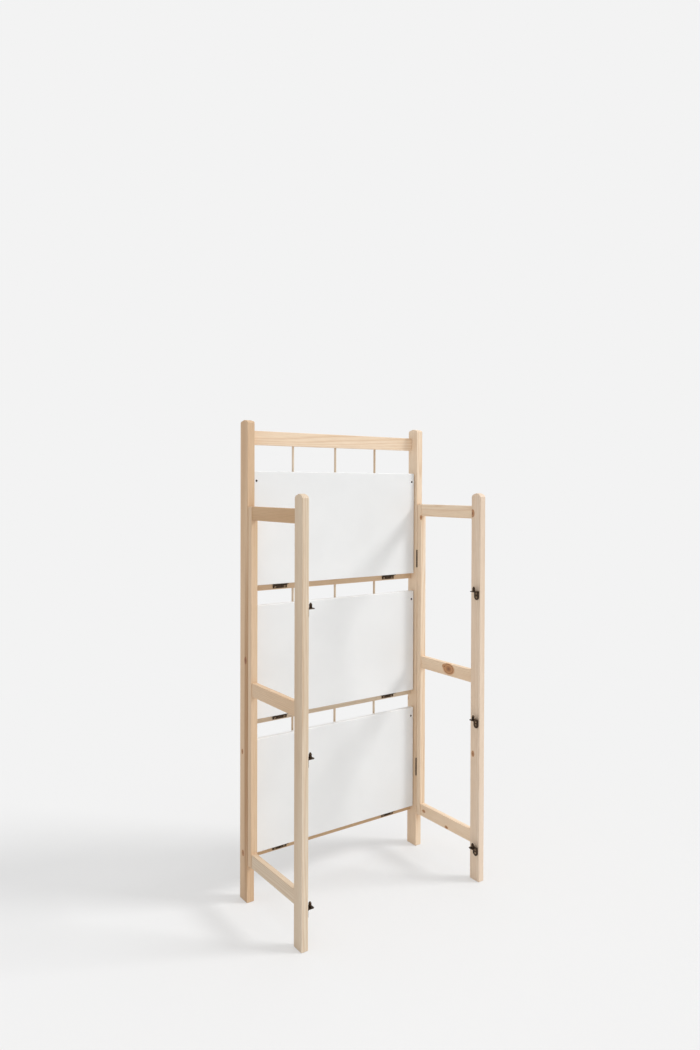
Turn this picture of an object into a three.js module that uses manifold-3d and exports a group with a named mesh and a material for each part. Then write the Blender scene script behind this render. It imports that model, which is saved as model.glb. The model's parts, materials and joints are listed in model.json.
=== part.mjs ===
// Folding plant ladder stand: a pine back frame with three white shelf boards hinged to its rails,
// and two pine side frames hinged to its uprights. Each board folds down on to pegs on the front posts,
// and with the boards up the side frames fold flat in front of them.
// Millimetres. +Z up, +Y to the wall behind, +X to the right seen from the front.
// Origin: on the floor, in the middle of the stand's box.

import * as THREE from 'three';
import { mergeVertices } from 'three/addons/utils/BufferGeometryUtils.js';
import Module from 'manifold-3d';

const wasm = await Module();
wasm.setup();

// ---------------------------------------------------------------- driving dimensions

const width = 564;               // over both uprights
const depth = 293;               // back of the uprights to the front of the front posts
const seatGap = 0.3;             // clearance between pieces that seat on each other

// Shelf boards, standing up in their folded place.
const boardThick = 14;
const boardSideGap = 2;          // each end of a board to the upright beside it
const boardEdgePastHole = 23.8;  // peg hole's centre to the board's front edge
const lowestShelf = 114;         // floor to the hinged edge of the lowest board
const tierGap = 50.5;            // top of a standing board to the hinged edge of the next one
const tiers = ['bottom', 'middle', 'top'];

// Back frame.
const uprightWide = 20;
const uprightDeep = 38;
const uprightCrown = 6;          // rise of the upright's top, arched from front to back
const uprightHorn = 25;          // upright's top above the top rail
const backRailThick = 13.7;
const shelfRailDrop = 16;        // shelf rail's bottom below its board's hinged edge
const shelfRailTall = 35;
const topRailTall = 35.5;
const topRailLift = 66.5;        // top rail's bottom above the highest board
const rodRadius = 3;
const rodSpread = 133;           // outer rods from the middle one
const rodBlind = 12;             // how deep a rod's end sits in its rail

// Side frames, open and square to the back frame.
const sideThick = 18;
const sideInset = 1;             // side frame's faces inside those of the upright
const seam = 1;                  // upright to the stile in front of it
const stileDeep = 17;
const postDeep = 33;
const postHorn = 33.5;           // front post's top above the top side rail
const postCrown = 9.5;           // rise of the front post's top, arched from front to back
const sideRailThick = 14;
const sideRailTall = 33.5;
const sideRailLift = { bottom: -20, middle: 67.5, top: 165 };  // each rail's bottom above its tier's hinged edge

// Stub tenons on every rail.
const tenonThick = 6;
const tenonShoulder = 5;         // rail's edge to the tenon's edge
const tenonRoot = 1;             // how far a tenon starts inside its own rail
const backTenonLong = 14;
const sideTenonLong = 10;

// Butt hinges under the boards and in the seams of the side frames.
const leafThick = 1.2;
const pinRadius = 1.2;
const pinPlay = 0.15;            // pin to the knuckle's bore
const knuckleGap = 0.4;          // between knuckle segments on one pin
const screwHoleRadius = 1.7;
const shelfHinge = { long: 42, knuckle: 2.5, leaf: 10, fixed: 14 };
const shelfHingeFromEnd = 84;    // hinge centres from the board's ends
const sideHinge = { long: 50, knuckle: 2.2, leaf: 14, fixed: 17 };
const sideHingeProud = 1;        // knuckle past the upright's inner face
const sideHingeLeafGap = 0.3;    // between the two leaves when the frame is open
const sideHingeLift = { lower: 116, upper: 42.5 };  // centres above the lowest and the highest hinged edge

// Pegged brackets that carry the lowered boards.
const bracketThick = 1.8;
const bracketWide = 17;
const bracketTall = 24;
const bracketFromFront = 11.5;   // bracket's centre line behind the front post's front face
const tabCorner = 3;
const tabLong = 18;
const pegFromPost = 11.5;
const collarRadius = 3.6;
const collarTall = 8.9;
const pegTipRadius = 2.25;
const pegTipTall = 3;
const pegHolePlay = 0.5;
const bracketScrewPitch = 9;

// ---------------------------------------------------------------- places worked out from them

const back = depth / 2;                                  // back plane of the stand
const front = -depth / 2;
const uprightInner = width / 2 - uprightWide;
const uprightFront = back - uprightDeep;
const railFront = back - backRailThick;

const shelfAxisY = railFront - seatGap - shelfHinge.knuckle;
const shelfAxisDrop = seatGap + shelfHinge.knuckle;      // shelf hinge's axis below the board's hinged edge
const boardBack = railFront - seatGap;
const boardFront = boardBack - boardThick;
const boardHalf = uprightInner - boardSideGap;
const shelfHingeSpread = boardHalf - shelfHingeFromEnd;  // hinge centres from the middle of the stand

const bracketY = front + bracketFromFront;
const holeLift = shelfAxisY - bracketY - shelfAxisDrop;  // peg hole above the board's hinged edge
const boardTall = holeLift + boardEdgePastHole;
const tierPitch = boardTall + tierGap;
const hingedEdge = tiers.map((tier, i) => lowestShelf + i * tierPitch);
const topRailBottom = hingedEdge[2] + boardTall + topRailLift;
const uprightTall = topRailBottom + topRailTall + uprightHorn;

const sideOuter = width / 2 - sideInset;
const sideInner = sideOuter - sideThick;
const sideMiddle = (sideOuter + sideInner) / 2;
const stileBack = uprightFront - seam;
const stileFront = stileBack - stileDeep;
const postBack = front + postDeep;
const sideRailBottom = tiers.map((tier, i) => hingedEdge[i] + sideRailLift[tier]);
const stileTop = sideRailBottom[2] + sideRailTall;
const postTall = stileTop + postHorn;
const sideAxisX = uprightInner + sideHinge.knuckle - sideHingeProud;
const sideAxisY = uprightFront - seam / 2;
const sideHingeAt = {
  lower: hingedEdge[0] + sideHingeLift.lower,
  upper: hingedEdge[2] + sideHingeLift.upper,
};

// The lowered board's underside lies as far below the axis as its front face stands before it.
const loweredUnderside = shelfAxisDrop + shelfAxisY - boardFront;
const tabTopDrop = loweredUnderside + seatGap + collarTall;  // bracket's tab below the hinged edge
const pegX = sideInner - pegFromPost;
const pegHoleRadius = pegTipRadius + pegHolePlay;

// ---------------------------------------------------------------- finishes

const pine = new THREE.MeshStandardMaterial({ color: 0xdcbd9a, roughness: 0.62, metalness: 0 });
const whiteBoard = new THREE.MeshStandardMaterial({ color: 0xeaecec, roughness: 0.4, metalness: 0 });
const bronze = new THREE.MeshStandardMaterial({ color: 0x4a3a2c, roughness: 0.42, metalness: 0.8 });
const steel = new THREE.MeshStandardMaterial({ color: 0x6e655a, roughness: 0.35, metalness: 1 });

// ---------------------------------------------------------------- cutting and joining

function toSolid(geometry) {
  const bare = geometry.clone();
  bare.deleteAttribute('normal');
  bare.deleteAttribute('uv');
  const merged = mergeVertices(bare);
  const { Manifold, Mesh } = wasm;
  return new Manifold(new Mesh({
    numProp: 3,
    vertProperties: new Float32Array(merged.attributes.position.array),
    triVerts: new Uint32Array(merged.index.array),
  }));
}

function toGeometry(solid) {
  const mesh = solid.getMesh();
  const geometry = new THREE.BufferGeometry();
  geometry.setAttribute('position', new THREE.BufferAttribute(mesh.vertProperties, 3));
  geometry.setIndex(new THREE.BufferAttribute(mesh.triVerts, 1));
  geometry.computeVertexNormals();
  return geometry;
}

// Joins the first list of geometries and cuts the second one out of them.
function carve(joined, removed = []) {
  let solid = joined.map(toSolid).reduce((sum, next) => sum.add(next));
  removed.forEach((geometry) => {
    solid = solid.subtract(toSolid(geometry));
  });
  return toGeometry(solid);
}

// A box between two opposite corners, given in any order.
function block(a, b) {
  const size = a.map((value, i) => Math.abs(b[i] - value));
  const middle = a.map((value, i) => (value + b[i]) / 2);
  return new THREE.BoxGeometry(...size).translate(...middle);
}

// A block grown by the seat gap on every side, to cut the seat that it fits in.
function seatFor(a, b) {
  const low = a.map((value, i) => Math.min(value, b[i]) - seatGap);
  const high = a.map((value, i) => Math.max(value, b[i]) + seatGap);
  return block(low, high);
}

function rod(radius, long, axis, middle, sides = 16) {
  const geometry = new THREE.CylinderGeometry(radius, radius, long, sides);
  if (axis === 'x') geometry.rotateZ(Math.PI / 2);
  if (axis === 'z') geometry.rotateX(Math.PI / 2);
  return geometry.translate(...middle);
}

const stand = new THREE.Group();

function add(name, geometry, material, parent = stand) {
  const mesh = new THREE.Mesh(geometry, material.clone());
  mesh.name = name;
  parent.add(mesh);
  return mesh;
}

// A standing bar with a segmental arch on top, which runs over its depth from front to back: the outline
// is a rectangle whose top edge is an arc of the given rise, extruded and stood up across the bar.
function archedBar(deep, tall, rise, wide) {
  const radius = (deep * deep) / (8 * rise) + rise / 2;
  const half = Math.asin(deep / 2 / radius);
  const shape = new THREE.Shape();
  shape.moveTo(-deep / 2, 0);
  shape.lineTo(deep / 2, 0);
  shape.absarc(0, tall - radius, radius, Math.PI / 2 - half, Math.PI / 2 + half, false);
  shape.closePath();
  const geometry = new THREE.ExtrudeGeometry(shape, { depth: wide, bevelEnabled: false, curveSegments: 10 });
  return geometry.translate(0, 0, -wide / 2).rotateX(Math.PI / 2).rotateZ(Math.PI / 2);
}

// ---------------------------------------------------------------- back frame

const backRails = [
  ...tiers.map((tier, i) => ({
    name: `${tier}_shelf_rail`,
    bottom: hingedEdge[i] - shelfRailDrop,
    tall: shelfRailTall,
  })),
  { name: 'back_top_rail', bottom: topRailBottom, tall: topRailTall },
];

// Corners of a back rail's tenon on one side, +1 right or -1 left.
function backTenon(rail, side) {
  const railMiddle = back - backRailThick / 2;
  return [
    [side * (uprightInner - seatGap - tenonRoot), railMiddle - tenonThick / 2, rail.bottom + tenonShoulder],
    [side * (uprightInner + backTenonLong), railMiddle + tenonThick / 2, rail.bottom + rail.tall - tenonShoulder],
  ];
}

// Mortises for a hinge leaf and its half-sunk knuckle, open towards the seam.
function sideHingeSeat(side, z, leafFace, faceY) {
  const reach = sideHinge.long / 2 + seatGap;
  const knuckleSeat = sideHinge.knuckle + seatGap;
  return [
    block(
      [side * (sideAxisX - sideHinge.knuckle), faceY, z - reach],
      [side * (sideAxisX + sideHinge.leaf + seatGap), leafFace, z + reach],
    ),
    rod(knuckleSeat, 2 * reach, 'z', [side * sideAxisX, sideAxisY, z]),
  ];
}

const leafBackFace = sideAxisY + sideHingeLeafGap / 2 + leafThick + seatGap;    // bottom of the upright's mortise
const leafFrontFace = sideAxisY - sideHingeLeafGap / 2 - leafThick - seatGap;   // bottom of the stile's mortise

function makeUpright(name, side) {
  const bar = archedBar(uprightDeep, uprightTall, uprightCrown, uprightWide);
  bar.translate(side * (uprightInner + uprightWide / 2), back - uprightDeep / 2, 0);
  const mortises = backRails.map((rail) => seatFor(...backTenon(rail, side)));
  const leafSeats = Object.values(sideHingeAt).flatMap((z) => (
    sideHingeSeat(side, z, leafBackFace, uprightFront - seam / 2)));
  add(name, carve([bar], [...mortises, ...leafSeats]), pine);
}

const rodX = [-rodSpread, 0, rodSpread];
const rodY = back - backRailThick / 2;
const rodBottom = hingedEdge[0] - shelfRailDrop + shelfRailTall - rodBlind;
const rodTop = topRailBottom + rodBlind;

function makeBackRail(rail) {
  const half = uprightInner - seatGap;
  const beam = block([-half, back, rail.bottom], [half, railFront, rail.bottom + rail.tall]);
  const tenons = [-1, 1].map((side) => block(...backTenon(rail, side)));
  const bores = rodX.map((x) => (
    rod(rodRadius + seatGap, rodTop - rodBottom + 2 * seatGap, 'z', [x, rodY, (rodTop + rodBottom) / 2], 12)));
  add(rail.name, carve([beam, ...tenons], bores), pine);
}

makeUpright('left_upright', -1);
makeUpright('right_upright', 1);
backRails.forEach(makeBackRail);
['left_rod', 'middle_rod', 'right_rod'].forEach((name, i) => {
  const geometry = rod(rodRadius, rodTop - rodBottom, 'z', [0, 0, 0], 12);
  add(name, geometry, pine).position.set(rodX[i], rodY, (rodTop + rodBottom) / 2);
});

// ---------------------------------------------------------------- hinges

// A hinge leaf in its own frame: the pin runs along X, the plate along +Y, and the plate's inner face
// lies faceOffset above the pin. The outer leaf has the two end knuckles, the other one the middle knuckle.
function leafGeometry(size, faceOffset, outer, screwSpread) {
  const bore = pinRadius + pinPlay;
  const third = size.long / 3;
  const end = (size.long - knuckleGap) / 2;
  const own = outer
    ? [[-end, -third / 2 - knuckleGap / 2], [third / 2 + knuckleGap / 2, end]]
    : [[-third / 2 + knuckleGap / 2, third / 2 - knuckleGap / 2]];
  const others = outer
    ? [[-third / 2 - knuckleGap / 2, third / 2 + knuckleGap / 2]]
    : [[-size.long, -third / 2 + knuckleGap / 2], [third / 2 - knuckleGap / 2, size.long]];
  const plate = block([-end, 0, faceOffset], [end, size.leaf, faceOffset + leafThick]);
  const knuckles = own.map(([from, to]) => rod(size.knuckle, to - from, 'x', [(from + to) / 2, 0, 0]));
  const swing = size.knuckle + seatGap;
  const notches = others.map(([from, to]) => block([from, -swing, -swing], [to, swing, swing + leafThick]));
  const screwY = (size.knuckle + size.leaf) / 2 + seatGap;
  const screws = [-1, 1].map((side) => (
    rod(screwHoleRadius, 4 * leafThick, 'z', [side * screwSpread, screwY, faceOffset + leafThick / 2], 8)));
  const plateAlone = carve([plate], notches);
  const pinBore = rod(bore, size.long, 'x', [0, 0, 0], 12);
  return carve([plateAlone, ...knuckles], [pinBore, ...screws]);
}

// Turns a leaf so that its plate runs along out and its far face looks along facing.
function turnLeaf(mesh, out, facing) {
  const along = new THREE.Vector3().crossVectors(out, facing);
  mesh.setRotationFromMatrix(new THREE.Matrix4().makeBasis(along, out, facing));
}

const toBack = new THREE.Vector3(0, 1, 0);
const toFront = new THREE.Vector3(0, -1, 0);
const up = new THREE.Vector3(0, 0, 1);
const down = new THREE.Vector3(0, 0, -1);

// The shelf hinge's fixed leaf hangs on the rail's front face, and its other leaf lies under the board.
function makeShelfHinge(tier, side, place) {
  const name = `${tier}_shelf_hinge_${side}`;
  const faceOffset = shelfHinge.knuckle - leafThick;
  const group = new THREE.Group();
  group.position.set(...place);
  stand.add(group);
  const railLeaf = leafGeometry(shelfHinge, faceOffset, true, shelfHinge.fixed);
  const boardLeaf = leafGeometry(shelfHinge, faceOffset, false, shelfHinge.fixed);
  turnLeaf(add(`${name}_rail_leaf`, railLeaf, bronze, group), down, toBack);
  turnLeaf(add(`${name}_board_leaf`, boardLeaf, bronze, group), toFront, up);
  add(`${name}_pin`, rod(pinRadius, shelfHinge.long, 'x', [0, 0, 0], 12), steel, group);
}

// The side hinge's leaves face each other in the seam, let into the upright and the stile.
function makeSideHinge(level, side, sign) {
  const name = `${side}_frame_hinge_${level}`;
  const group = new THREE.Group();
  group.position.set(sign * sideAxisX, sideAxisY, sideHingeAt[level]);
  stand.add(group);
  const out = new THREE.Vector3(sign, 0, 0);
  const uprightLeaf = leafGeometry(sideHinge, sideHingeLeafGap / 2, true, sideHinge.fixed);
  const stileLeaf = leafGeometry(sideHinge, sideHingeLeafGap / 2, false, sideHinge.fixed);
  turnLeaf(add(`${name}_upright_leaf`, uprightLeaf, bronze, group), out, toBack);
  turnLeaf(add(`${name}_stile_leaf`, stileLeaf, bronze, group), out, toFront);
  add(`${name}_pin`, rod(pinRadius, sideHinge.long, 'z', [0, 0, 0], 12), steel, group);
}

// ---------------------------------------------------------------- shelf boards

function makeShelf(tier, i) {
  const board = block([-boardHalf, boardFront, 0], [boardHalf, boardBack, boardTall]);
  const holes = [-pegX, pegX].map((x) => (
    rod(pegHoleRadius, 2 * boardThick, 'y', [x, (boardFront + boardBack) / 2, holeLift])));
  add(`${tier}_shelf`, carve([board], holes), whiteBoard).position.z = hingedEdge[i];
  makeShelfHinge(tier, 'left', [-shelfHingeSpread, shelfAxisY, hingedEdge[i] - shelfAxisDrop]);
  makeShelfHinge(tier, 'right', [shelfHingeSpread, shelfAxisY, hingedEdge[i] - shelfAxisDrop]);
}

tiers.forEach(makeShelf);

// ---------------------------------------------------------------- side frames

// Corners of a side rail's tenon: end -1 goes into the front post and +1 into the stile.
function sideTenon(side, bottom, end) {
  const shoulder = end > 0 ? stileFront : postBack;
  return [
    [side * sideMiddle - tenonThick / 2, shoulder - end * (seatGap + tenonRoot), bottom + tenonShoulder],
    [side * sideMiddle + tenonThick / 2, shoulder + end * sideTenonLong, bottom + sideRailTall - tenonShoulder],
  ];
}

function makeSideRail(name, side, bottom) {
  const beam = block(
    [side * sideMiddle - sideRailThick / 2, stileFront - seatGap, bottom],
    [side * sideMiddle + sideRailThick / 2, postBack + seatGap, bottom + sideRailTall],
  );
  const tenons = [-1, 1].map((end) => block(...sideTenon(side, bottom, end)));
  add(name, carve([beam, ...tenons]), pine);
}

function makeStile(name, side) {
  const bar = block(
    [side * sideInner, stileBack, sideRailBottom[0]],
    [side * sideOuter, stileFront, stileTop],
  );
  const mortises = sideRailBottom.map((bottom) => seatFor(...sideTenon(side, bottom, 1)));
  const leafSeats = Object.values(sideHingeAt).flatMap((z) => (
    sideHingeSeat(side, z, leafFrontFace, stileBack + seam / 2)));
  add(name, carve([bar], [...mortises, ...leafSeats]), pine);
}

function makeFrontPost(name, side) {
  const bar = archedBar(postDeep, postTall, postCrown, sideThick);
  bar.translate(side * sideMiddle, front + postDeep / 2, 0);
  const mortises = sideRailBottom.map((bottom) => seatFor(...sideTenon(side, bottom, -1)));
  add(name, carve([bar], mortises), pine);
}

// Half of the tab and plate outline is straight; a full round closes the plate's foot.
function plateOutline() {
  const shape = new THREE.Shape();
  const half = bracketWide / 2;
  shape.moveTo(half, 0);
  shape.lineTo(-half, 0);
  shape.lineTo(-half, -bracketTall + half);
  shape.absarc(0, -bracketTall + half, half, Math.PI, 2 * Math.PI, false);
  shape.closePath();
  return shape;
}

function tabOutline() {
  const shape = new THREE.Shape();
  const half = bracketWide / 2;
  shape.moveTo(0, -half);
  shape.lineTo(tabLong - tabCorner, -half);
  shape.absarc(tabLong - tabCorner, -half + tabCorner, tabCorner, -Math.PI / 2, 0, false);
  shape.absarc(tabLong - tabCorner, half - tabCorner, tabCorner, 0, Math.PI / 2, false);
  shape.lineTo(0, half);
  shape.closePath();
  return shape;
}

// The bracket in its own frame: the post's face at x = 0, the tab's top at z = 0, the tab along +X.
function bracketGeometry() {
  const flat = { depth: bracketThick, bevelEnabled: false, curveSegments: 6 };
  const plate = new THREE.ExtrudeGeometry(plateOutline(), flat).rotateX(Math.PI / 2).rotateZ(Math.PI / 2);
  const tab = new THREE.ExtrudeGeometry(tabOutline(), flat).translate(0, 0, -bracketThick);
  const pegProfile = [
    [0, -bracketThick / 2],
    [collarRadius, -bracketThick / 2],
    [collarRadius, collarTall],
    [pegTipRadius, collarTall],
    [pegTipRadius, collarTall + pegTipTall - pegTipRadius / 3],
    [pegTipRadius * 2 / 3, collarTall + pegTipTall],
    [0, collarTall + pegTipTall],
  ].map(([radius, z]) => new THREE.Vector2(radius, z));
  const peg = new THREE.LatheGeometry(pegProfile, 14).rotateX(Math.PI / 2);
  peg.translate(pegFromPost - seatGap, 0, 0);
  const screwTop = -(bracketTall - bracketScrewPitch) / 2;
  const screws = [screwTop, screwTop - bracketScrewPitch].map((z) => (
    rod(screwHoleRadius, 4 * bracketThick, 'x', [bracketThick / 2, 0, z], 8)));
  return carve([plate, tab, peg], screws);
}

function makeBracket(name, side, edge) {
  const mesh = add(name, bracketGeometry(), bronze);
  mesh.rotation.z = side > 0 ? Math.PI : 0;
  mesh.position.set(side * (sideInner - seatGap), bracketY, edge - tabTopDrop);
}

[['left', -1], ['right', 1]].forEach(([side, sign]) => {
  makeStile(`${side}_stile`, sign);
  makeFrontPost(`${side}_front_post`, sign);
  tiers.forEach((tier, i) => {
    makeSideRail(`${side}_${tier}_side_rail`, sign, sideRailBottom[i]);
    makeBracket(`${side}_${tier}_peg_bracket`, sign, hingedEdge[i]);
  });
  ['lower', 'upper'].forEach((level) => makeSideHinge(level, side, sign));
});

export default stand;
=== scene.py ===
"""Folding plant ladder stand: pine frames, white lacquered shelf boards and dark bronzed hardware.

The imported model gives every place. Wooden members are made again here with eased edges and their own
grain, the boards with softened rims, the hinges and brackets with rolled knuckles, bends and screws.
"""

import json
import math

import bpy
import numpy as np
from mathutils import Matrix, Vector


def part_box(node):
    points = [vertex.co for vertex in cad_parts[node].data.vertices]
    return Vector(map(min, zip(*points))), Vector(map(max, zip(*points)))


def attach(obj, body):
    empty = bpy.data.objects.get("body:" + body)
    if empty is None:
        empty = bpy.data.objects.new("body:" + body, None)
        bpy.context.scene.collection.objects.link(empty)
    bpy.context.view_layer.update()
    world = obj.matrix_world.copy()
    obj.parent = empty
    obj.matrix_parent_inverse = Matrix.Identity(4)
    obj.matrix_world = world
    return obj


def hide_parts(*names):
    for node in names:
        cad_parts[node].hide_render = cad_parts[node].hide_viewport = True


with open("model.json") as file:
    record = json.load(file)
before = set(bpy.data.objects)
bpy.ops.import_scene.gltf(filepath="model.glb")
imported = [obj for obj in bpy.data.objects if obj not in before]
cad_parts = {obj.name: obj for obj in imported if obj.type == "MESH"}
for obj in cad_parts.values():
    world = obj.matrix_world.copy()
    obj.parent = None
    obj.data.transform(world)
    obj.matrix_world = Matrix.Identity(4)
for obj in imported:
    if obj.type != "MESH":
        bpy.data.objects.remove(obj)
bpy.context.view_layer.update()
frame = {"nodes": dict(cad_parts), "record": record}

MM = 0.001
TIERS = ("bottom", "middle", "top")
SIDES = {"left": -1, "right": 1}

# ------------------------------------------------------------------ sizes that several pieces share

SEAT_GAP_MM = 0.3          # clearance between pieces that seat on each other
EDGE_STEPS = 4             # steps round a quarter-round edge

# The two kinds of hinge: its length, the knuckle's radius, the leaf's reach from the pin, the leaf's face
# above the pin's centre, the screws' places either side of the middle, and the rise of their heads.
SHELF_HINGE = {"long": 42, "knuckle": 2.5, "leaf": 10, "face": 1.3, "screws": 14, "dome": 0.5}
SIDE_HINGE = {"long": 50, "knuckle": 2.2, "leaf": 14, "face": 0.15, "screws": 17, "dome": 0.0}

# The pegs stand under the holes that they enter: the same way along X, and as far from the fold's axis.
POST_INNER_MM = 263        # middle of the stand to the front posts' inner faces
PEG_FROM_PLATE_MM = 11.2   # back of a bracket's plate to its peg's centre
HOLE_BELOW_TOP_MM = 23.8   # top edge of a standing board to its peg holes' centres
PEG_HOLE_RADIUS_MM = 2.75
PEG_X = (POST_INNER_MM - SEAT_GAP_MM - PEG_FROM_PLATE_MM) * MM
BOARD_HOLES = {tier: [(side * PEG_X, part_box(f"{tier}_shelf")[1][2] - HOLE_BELOW_TOP_MM * MM)
                      for side in SIDES.values()] for tier in TIERS}

# ------------------------------------------------------------------ small helpers


def linear(hex_colour):
    """sRGB hex to the linear RGBA that shaders take."""
    parts = [int(hex_colour[i:i + 2], 16) / 255 for i in (1, 3, 5)]
    return tuple(c / 12.92 if c <= 0.04045 else ((c + 0.055) / 1.055) ** 2.4 for c in parts) + (1.0,)


def add_node(material, kind, settings=None, inputs=None, stops=(), **named):
    """Adds one node to a material or a world. Settings are the node's own properties. Inputs, by number
    or by name, are each a value to set, a socket to link, or a node whose first output is linked. Stops
    are a colour ramp's (position, hex) pairs."""
    tree = material.node_tree
    made = tree.nodes.new(kind)
    for key, value in (settings or {}).items():
        setattr(made, key, value)
    by_name = {key.replace("_", " "): value for key, value in named.items()}
    for key, value in {**(inputs or {}), **by_name}.items():
        if isinstance(value, bpy.types.Node):
            value = value.outputs[0]
        if isinstance(value, bpy.types.NodeSocket):
            tree.links.new(value, made.inputs[key])
        else:
            made.inputs[key].default_value = value
    if stops:
        elements = made.color_ramp.elements
        while len(elements) < len(stops):
            elements.new(0.5)
        for element, (position, colour) in zip(elements, stops):
            element.position = position
            element.color = linear(colour)
    return made


def new_material(name):
    """An empty node material."""
    material = bpy.data.materials.new(name)
    material.use_nodes = True
    material.node_tree.nodes.clear()
    return material


def finish_material(material, shader):
    """Sends the shader to the material's surface."""
    add_node(material, "ShaderNodeOutputMaterial", Surface=shader)
    return material


def put_mesh(name, points, faces, material, body, replaced=()):
    """Makes a mesh object of the points and faces, smooth shaded, that rides on the body."""
    mesh = bpy.data.meshes.new(name)
    mesh.from_pydata(points, [], faces)
    mesh.shade_smooth()
    mesh.materials.append(material)
    made = bpy.data.objects.new(name, mesh)
    bpy.context.collection.objects.link(made)
    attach(made, body)
    if replaced:
        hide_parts(*replaced)
    return made


def flatten_flats(made):
    """Lets the large flat faces keep flat shading beside their rounded edges."""
    weighted = made.modifiers.new("flat faces", "WEIGHTED_NORMAL")
    weighted.weight = 100
    return made


def grid_faces(rings, around):
    """Quads between successive closed rings of points, as one array."""
    i, j = np.meshgrid(np.arange(rings - 1), np.arange(around), indexing="ij")
    after = (j + 1) % around
    quads = np.stack([i * around + j, i * around + after,
                      (i + 1) * around + after, (i + 1) * around + j], -1)
    return quads.reshape(-1, 4)


# ------------------------------------------------------------------ materials

RING_MM = 3.4              # pine's growth rings, as they cross a sawn face
RING_WANDER_MM = 14        # how far the rings stray with the grain
KNOT_BEND_MM = 9           # how far they bend round the heart of a knot
FIBRE_MM = 1.3             # fibres are finer; drawn as coarse as the render can show
LACQUER_MM = 2.2           # ripple of sprayed lacquer

# Slower patterns, as marks to the metre.
WANDER_PER_M = 26.0        # the rings stray over about 38 mm across the grain
TONE_PER_M = 11.0          # a plank's tone changes over about 90 mm
HANDLED_PER_M = 7.0        # duller patches of lacquer, about 140 mm wide
CLOUD_PER_M = 260.0        # clouds in the bronze finish, about 4 mm wide
GRIT_PER_M = 2600.0        # its grit, about 0.4 mm

# Marks to the metre along the grain, as a share of those across it.
SLOW_STRETCH = 0.07
FIBRE_STRETCH = 0.03
KNOT_STRETCH = 1.5         # a knot's length along the grain, as a share of its width

# Colours of the planks that the members were cut from, and of fibreboard without lacquer, made dark to
# paint in the shade deep inside the peg holes.
TIMBER = {"honey": "#D8BA96", "warm": "#E5CCAF", "cream": "#F9E6CF", "pale": "#E6D8C5", "rosy": "#F0DFCD"}
SHADED_BARE_FIBRE = "#5A4230"

ADD, SUBTRACT, MULTIPLY, DIVIDE, MULTIPLY_ADD, MINIMUM, MAXIMUM, LENGTH = (
    {"operation": name} for name in ("ADD", "SUBTRACT", "MULTIPLY", "DIVIDE", "MULTIPLY_ADD", "MINIMUM",
                                     "MAXIMUM", "LENGTH"))


def spot(centre, radius, grain_axis, reach=None):
    """An egg-shaped mark in the wood, in millimetres: its centre, and its half size along each axis."""
    half = [radius] * 3
    half[grain_axis] = reach or radius * KNOT_STRETCH
    return centre, half


def spot_mask(material, position, spots):
    """0 outside the spots and 1 at their hearts: 1 less the distance to the nearest centre, each axis
    counted in the spot's half sizes."""
    total = None
    for centre, half in spots:
        away = add_node(material, "ShaderNodeVectorMath", SUBTRACT,
                        {0: position, 1: [c * MM for c in centre]})
        scaled = add_node(material, "ShaderNodeVectorMath", DIVIDE, {0: away, 1: [h * MM for h in half]})
        distance = add_node(material, "ShaderNodeVectorMath", LENGTH, {0: scaled}).outputs["Value"]
        near = add_node(material, "ShaderNodeMath", {**SUBTRACT, "use_clamp": True}, {0: 1.0, 1: distance})
        total = near if total is None else (
            add_node(material, "ShaderNodeMath", MAXIMUM, {0: total, 1: near}))
    return total


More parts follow.
